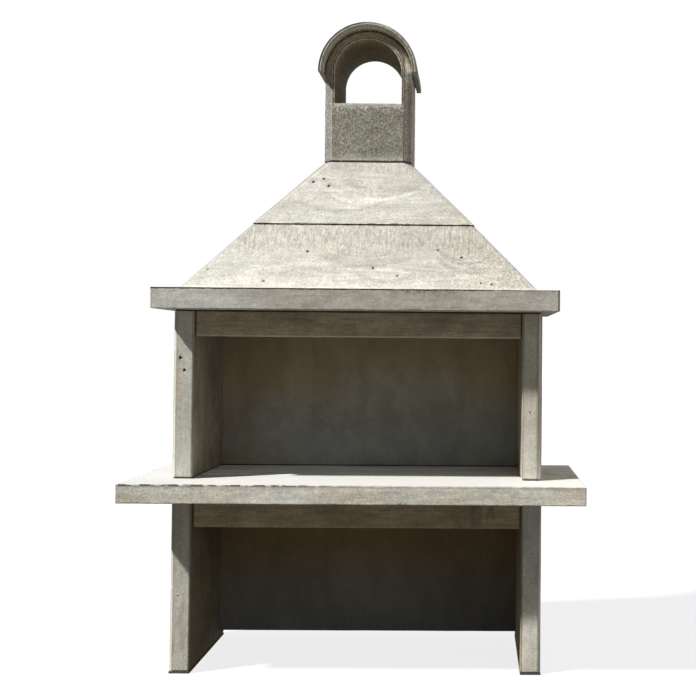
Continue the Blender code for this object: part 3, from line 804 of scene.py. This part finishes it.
CHIMNEY_HALF = 0.181
CHIMNEY_CORNER = 0.032
CHIMNEY_DEPTH = 0.288
CHIMNEY_Y = 0.190
SILL = 0.242
SPRING = 0.373
FRONT_ARCH = 0.141
BACK_ARCH = 0.130
SHAFT = (0.12, 0.1)
ARC_POINTS = 72
SIDE_LINES, SHAFT_LINES = 7, 31
CORNER_CUTS = (0.3, 0.5, 0.7, 0.92)
BACK_ROWS = (0.0, 0.015, 0.03)
FRONT_ROWS = (0.03, 0.012, 0.0018, 0.0)

look = Look("chimney_concrete", (0.34, 0.325, 0.275), (0.27, 0.255, 0.21), 2.3, 2.2)
look.tone(look.cloud(190, 2, 0.6), 0.74, 1.26, 0.38, 0.62)
in_arch = look.work("MAXIMUM", look.share(aside=(0.158, 0.151)), look.share(z=(2.42, 2.5)))
above_sill = look.share(in_arch, z=(2.286, 2.292))
look.tint((1.06, 0.9, 0.74), above_sill, y=(0.31, 0.2))
over_spring = look.work("MAXIMUM", look.work("SUBTRACT", look.z, 2.42), 0)
squares = (look.share(look.x, look.x), look.share(over_spring, over_spring))
reach = look.work("POWER", look.work("ADD", *squares), 0.5)
front_arris = look.share(y=(0.085, 0.078))
arch = look.share(front_arris, z=(2.4, 2.47))
# Painted light: the arch face in shade under the roof is painted paler, most of all near the roof.
look.tint((1.25, 1.28, 1.34), arch)
look.tint((2.1, 2.15, 2.25), arch, look.within(reach, 0.15, 0.172))
# Painted light on the right of the arch: a paler, bluer patch.
lit_side = look.share(x=(0.08, 0.12), z=(2.36, 2.4, 2.5, 2.54))
look.tint((1.42, 1.62, 1.9), lit_side, look.within(reach, 0.147, 0.151), front_arris)
deep = look.share(above_sill, y=(0.05, 0.075, 0.32, 0.33))
look.tint((0.86, 0.84, 0.8), deep)
look.tint((0.74, 0.72, 0.7), deep, z=(2.42, 2.36))
# Painted light: the right corner, in shade, is painted paler, with a paler stripe down it.
right_corner = look.share(x=(0.15, 0.153), y=(0.08, 0.076))
look.tint((1.32, 1.22, 1.22), right_corner)
look.tint((1.42, 1.42, 1.4), right_corner, x=(0.1525, 0.155, 0.164, 0.168))
corner_line = look.share(x=(0.147, 0.1485, 0.1505, 0.1525), y=(0.06, 0.055))
look.cover((0.1, 0.09, 0.075), corner_line, 0.75)
# Painted light: the right side face, in shade, is painted paler.
look.tint((1.32, 1.38, 1.42), x=(0.1775, 0.1795), y=(0.074, 0.08))
# The left corner, which faces the sun, is painted darker against its light.
look.tint((0.83, 0.85, 0.88), x=(-0.15, -0.153), y=(0.08, 0.076))
off_streak = look.work("ABSOLUTE", look.work("ADD", look.x, 0.125))
streak = look.share(look.spread(off_streak, 0.035, 0.012), look.patches(0.35, 0.6, 9, 4, 0.6),
                    y=(0.06, 0.05))
look.tint((1, 0.8, 0.66), streak, 0.7)
crumbs = look.share(look.patches(0.52, 0.6, 95, 2, 0.6), z=(2.235, 2.275, 2.289, 2.292),
                    y=(0.06, 0.05))
look.cover((0.74, 0.73, 0.69), crumbs, 0.7)
look.cover((0.78, 0.75, 0.69), "worn", 0.95)
front = look.share(above_sill, y=(0.056, 0.05))
look.tint((0.45, 0.44, 0.43), front, look.within(reach, 0.1418, 0.143, 0.1468, 0.148))
lines = look.work("MAXIMUM", look.within(reach, 0.1396, 0.1404, 0.1424, 0.1432),
                  look.share(look.within(reach, 0.1476, 0.1484, 0.15, 0.1508), 0.6))
look.cover((0.88, 0.85, 0.78), front, lines, look.patches(0.42, 0.54, 48, 4, 0.65), 0.8)
joint = look.share(look.patches(0.36, 0.46, 40, 4, 0.65), z=(2.0515, 2.05))
look.cover((0.045, 0.038, 0.03), joint, 0.9)
chimney_concrete = look.done(0.95)


def arch_loop(half, foot, lines, rise):
    """Loop of an upright-sided arch seen from the front, anticlockwise from its lower left: across
    the foot at the places in lines, up the right side by the shares in rise, round the half
    circle, and down the left side."""
    x = np.asarray(lines)
    z = foot + (SPRING - foot) * np.asarray(rise)[1:]
    a = np.linspace(0, math.pi, ARC_POINTS + 1)[1:]
    xs = [x, np.full(len(z), half), half * np.cos(a), np.full(len(z) - 1, -half)]
    zs = [np.full(len(x), foot), z, SPRING + half * np.sin(a), z[-2::-1]]
    return np.column_stack([np.concatenate(xs), np.concatenate(zs)])


def foot_lines(half):
    """Places across the foot or the sill: close to both sides, with lines at the shaft's walls."""
    side = np.linspace(-half, -SHAFT[0], SIDE_LINES)
    return np.r_[side, np.linspace(-SHAFT[0], SHAFT[0], SHAFT_LINES)[1:-1], -side[::-1]]


def upright(loop, y):
    """A loop seen from the front, set at the depth y and at the chimney's height."""
    return np.column_stack([loop[:, 0], np.full(len(loop), CHIMNEY_Y + y), base_z + loop[:, 1]])


base_z = box_of("chimney_block")[0][2]
rise = np.linspace(0, 1, 34)
end = CHIMNEY_DEPTH / 2
face = CHIMNEY_HALF - CHIMNEY_CORNER
shaft_lines = np.linspace(-SHAFT[1], SHAFT[1], 24)
corner_in, corner_out = (0.045, *CORNER_CUTS), (*CORNER_CUTS[::-1], 0.08)
profile = [(-end, face)]
profile += [(-end + CHIMNEY_CORNER * t, face + CHIMNEY_CORNER * t) for t in corner_in]
profile += [(y, CHIMNEY_HALF) for y in (-end + CHIMNEY_CORNER, *shaft_lines, end - CHIMNEY_CORNER)]
profile += [(end - CHIMNEY_CORNER * t, face + CHIMNEY_CORNER * t) for t in corner_out]
profile += [(end, face)]
outer_rows = [upright(arch_loop(h, 0.0, foot_lines(h), rise), y) for y, h in profile]
depths = [*(end - t for t in BACK_ROWS), *shaft_lines[::-1], *(t - end for t in FRONT_ROWS)]
passage = [(y, BACK_ARCH + (FRONT_ARCH - BACK_ARCH) * (end - y) / CHIMNEY_DEPTH) for y in depths]
inner_rows = [upright(arch_loop(r, SILL, foot_lines(r), rise), y) for y, r in passage]
face_shares = (0.04, 0.09, 0.15, 0.22, 0.3, 0.38, 0.46, 0.54, 0.62, 0.7, 0.78, 0.85, 0.91, 0.96)
back_rows = between(outer_rows[-1], inner_rows[0], face_shares)
front_rows = between(inner_rows[-1], outer_rows[0], face_shares)
loops = outer_rows + back_rows + inner_rows + front_rows
points, quads = closed_loops(loops)
n = len(loops[0])
row, column = np.divmod(quads[:, 0], n)
left, right = SIDE_LINES - 1, SIDE_LINES + SHAFT_LINES - 2
outer_first = len(corner_in) + 2
inner_first = len(outer_rows) + len(back_rows) + len(BACK_ROWS)
span = len(shaft_lines) - 1
in_foot = (column >= left) & (column < right)
open_foot = in_foot & (row >= outer_first) & (row < outer_first + span)
open_sill = in_foot & (row >= inner_first) & (row < inner_first + span)
quads = quads[~(open_foot | open_sill)]


def rim_of(first, order):
    """Point numbers round the shaft's mouth, from its front left and anticlockwise from above, for
    rows from front to back in the order 1 and from back to front in the order -1."""
    rows = (first + np.arange(span + 1)[::order]) * n
    columns = np.arange(left, right + 1)
    return np.concatenate([rows[0] + columns[:-1], rows[:-1] + right,
                           rows[-1] + columns[:0:-1], rows[:0:-1] + left])


foot_rim, sill_rim = rim_of(outer_first, 1), rim_of(inner_first, -1)
levels = np.linspace(0, 1, 16)
shaft = between(points[foot_rim], points[sill_rim], levels[1:-1])
count = len(foot_rim)
numbers = np.concatenate([foot_rim, len(points) + np.arange(count * len(shaft)), sill_rim])
i, j = np.arange(len(levels) - 1)[:, None] * count, np.arange(count)[None]
j2 = (j + 1) % count
tube = np.stack([i + j, i + count + j, i + count + j2, i + j2], -1).reshape(-1, 4)
points = np.concatenate([points, *shaft])
quads = np.concatenate([quads, numbers[tube]])
rim = np.zeros(len(loops))
rim[[0, -1, -2, -len(front_rows) - 1, -len(front_rows)]] = 1, 0.6, 0.2, 1, 0.6
worn = np.zeros(len(points))
worn[:len(rim) * n] = np.repeat(rim, n)
worn *= 0.35 + 0.65 * mottling(points, 0.012, 300)
piece = casting("chimney_head", points, quads, chimney_concrete, {"worn": worn}, 0.0012, 0.0007, 32)
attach(piece, "root")
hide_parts("chimney_block")

# ------------
# Roof: a half barrel of the same coarse concrete, bedded on the arch, proud of it all round. It is
# worn as a flat slab and then bent. Its front end has a dark ring, a broken pale ring and moss.

ROOF_INNER = 0.184
ROOF_OUTER = 0.206
ROOF_REACH = 0.172
ROOF_LIP = 0.006
DULL_RADIUS = 0.1945
DARK_RING = (0.1915, 0.0012)
PALE_RING = (0.196, 0.0016)
MOSS_RING = (0.1976, 0.0012)

arc = math.pi * ROOF_OUTER
low = np.array([-ROOF_LIP, -ROOF_REACH, ROOF_INNER])
high = np.array([arc + ROOF_LIP, ROOF_REACH, ROOF_OUTER])
points, quads = block(
    stations(low[0], high[0], 0.006),
    stations(low[1], high[1], 0.007),
    stations(low[2], high[2], 0.0013, arris=0.005),
)
off_crown = points[:, 0] - arc / 2
end_face = points[:, 1] == low[1]
ring, pale = (end_face * bell(points[:, 2], *place) for place in (DARK_RING, PALE_RING))
dull = end_face * (points[:, 2] < DULL_RADIUS)
under = (points[:, 2] == low[2]) * np.clip((low[1] + 0.06 - points[:, 1]) / 0.03, 0, 1) * ~end_face
marks = wear_arrises(points, low, high, block_edges(0.002, 0.002, 0.003), 0.0016, 260)
around, deep, radius = points.T
moss = (deep < low[1] + 0.012) * np.clip((radius - MOSS_RING[0]) / MOSS_RING[1], 0, 1)
moss *= np.clip(off_crown / 0.08 + 0.45, 0.35, 1)
moss *= np.clip(mottling(points, 0.02, 270) * 6 - 1, 0, 1)
pale *= np.clip(mottling(points, 0.014, 280) * 4 - 0.9, 0, 1)
marks.update(ring=ring, pale=pale, dull=dull, under=under, moss=moss)
turn = np.clip(around, 0, arc) / ROOF_OUTER
lip = np.minimum(around, 0) + np.minimum(arc - around, 0)
points = np.column_stack([radius * np.cos(turn), CHIMNEY_Y + deep,
                          base_z + SPRING + radius * np.sin(turn) + lip])

look = Look("roof_concrete", (0.43, 0.41, 0.355), (0.33, 0.312, 0.26), 2.0, 2.0)
look.tone(look.cloud(165, 2, 0.6), 0.8, 1.2, 0.38, 0.62)
look.tint((0.58, 0.57, 0.52), "dull")
# Painted light: the roof's underside near its front end, in shade, is painted paler.
look.tint((1.95, 1.9, 1.8), "under")
look.cover((0.62, 0.6, 0.53), "worn", 0.45)
look.cover((0.14, 0.125, 0.1), "ring", 0.5)
look.cover((0.8, 0.77, 0.69), "pale", 0.95)
look.cover((0.022, 0.02, 0.017), "moss", 0.97)
roof_concrete = look.done(0.95)
piece = casting("vaulted_roof", points, quads[:, ::-1], roof_concrete, marks, 0.001, 0.0006)
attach(piece, "root")
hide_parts("chimney_roof")

# ------------
# Floor, light and camera. The floor is pale, and to the camera it is nearly white with a soft
# shadow; for the light that it throws back under the slabs it is an ordinary mid grey.

FLOOR_SIZE = 60.0


def mix_seen(tree, output, lighting, shown):
    """Put out the first shader for diffuse light, and the second for rays from the camera and for
    those that a mirror or glass passes on."""
    rays = add(tree, "ShaderNodeLightPath").outputs
    seen = rays["Is Camera Ray"]
    for kind in ("Is Glossy Ray", "Is Transmission Ray"):
        seen = add(tree, "ShaderNodeMath", {0: seen, 1: rays[kind]}, operation="MAXIMUM").outputs[0]
    mixed = add(tree, "ShaderNodeMixShader", {0: seen, 1: lighting.outputs[0], 2: shown.outputs[0]})
    add(tree, output, {0: mixed.outputs[0]})


corners = [(x * FLOOR_SIZE, y * FLOOR_SIZE, 0) for x, y in ((-1, -1), (1, -1), (1, 1), (-1, 1))]
mesh = bpy.data.meshes.new("floor")
mesh.from_pydata(corners, [], [(0, 1, 2, 3)])
floor = bpy.data.objects.new("floor", mesh)
bpy.context.scene.collection.objects.link(floor)
material = bpy.data.materials.new("floor_paint")
material.use_nodes = True
tree = material.node_tree
tree.nodes.clear()
ground = add(tree, "ShaderNodeBsdfDiffuse", {"Color": (0.1, 0.096, 0.085, 1.0)})
pale = add(tree, "ShaderNodeBsdfDiffuse", {"Color": (0.12, 0.12, 0.12, 1.0)})
glow = add(tree, "ShaderNodeEmission", {"Color": (1.0, 1.0, 1.0, 1.0), "Strength": 0.82})
shown = add(tree, "ShaderNodeAddShader", {0: pale.outputs[0], 1: glow.outputs[0]})
mix_seen(tree, "ShaderNodeOutputMaterial", ground, shown)
mesh.materials.append(material)

scene = bpy.context.scene
scene.view_settings.view_transform = "Standard"

world = bpy.data.worlds.new("sky")
scene.world = world
world.use_nodes = True
tree = world.node_tree
tree.nodes.clear()
away = add(tree, "ShaderNodeTexCoord").outputs["Generated"]
away = add(tree, "ShaderNodeVectorMath", {0: away, 1: (0.76, 0.65, 0.0)}, operation="DOT_PRODUCT")
behind = add(tree, "ShaderNodeMapRange",
             {0: away.outputs["Value"], 1: -0.6, 2: 0.8, 3: 0.15, 4: 0.75},
             interpolation_type="SMOOTHSTEP").outputs[0]
fill = add(tree, "ShaderNodeBackground", {"Color": (0.97, 0.985, 1.0, 1.0), "Strength": behind})
backdrop = add(tree, "ShaderNodeBackground", {"Color": (1.0, 1.0, 1.0, 1.0), "Strength": 1.0})
mix_seen(tree, "ShaderNodeOutputWorld", fill, backdrop)

key = bpy.data.lights.new("key", "SUN")
key.energy = 6.1
key.color = (1.0, 0.99, 0.97)
key.angle = math.radians(2.5)
sun = bpy.data.objects.new("key", key)
scene.collection.objects.link(sun)
beam = np.array([2.19, 1.0, -2.87])
beam /= np.linalg.norm(beam)
sun.rotation_mode = "QUATERNION"
sun.rotation_quaternion = Vector(beam).to_track_quat("-Z", "Y")

IMAGE = 696
CAMERA_PLACE = (0.4588, -4.081, 1.2706)
YAW, PITCH, ROLL = 0.0116, 0.0215, 0.0080
FOCUS, MIDDLE_X, MIDDLE_Y = 991.39, 487.2, 327.04

flat_share = math.cos(PITCH)
ahead = np.array([math.sin(YAW) * flat_share, math.cos(YAW) * flat_share, math.sin(PITCH)])
level = np.array([math.cos(YAW), -math.sin(YAW), 0.0])
above = np.cross(level, ahead)
right_hand = math.cos(ROLL) * level + math.sin(ROLL) * above
overhead = -math.sin(ROLL) * level + math.cos(ROLL) * above
camera_data = bpy.data.cameras.new("camera")
camera = bpy.data.objects.new("camera", camera_data)
scene.collection.objects.link(camera)
camera.matrix_world = Matrix([
    [*values, place_on_axis]
    for values, place_on_axis in zip(np.column_stack([right_hand, overhead, -ahead]), CAMERA_PLACE)
] + [[0, 0, 0, 1]])
camera_data.lens = FOCUS / IMAGE * camera_data.sensor_width
camera_data.shift_x = -(MIDDLE_X - IMAGE / 2) / IMAGE
camera_data.shift_y = (MIDDLE_Y - IMAGE / 2) / IMAGE
scene.camera = camera
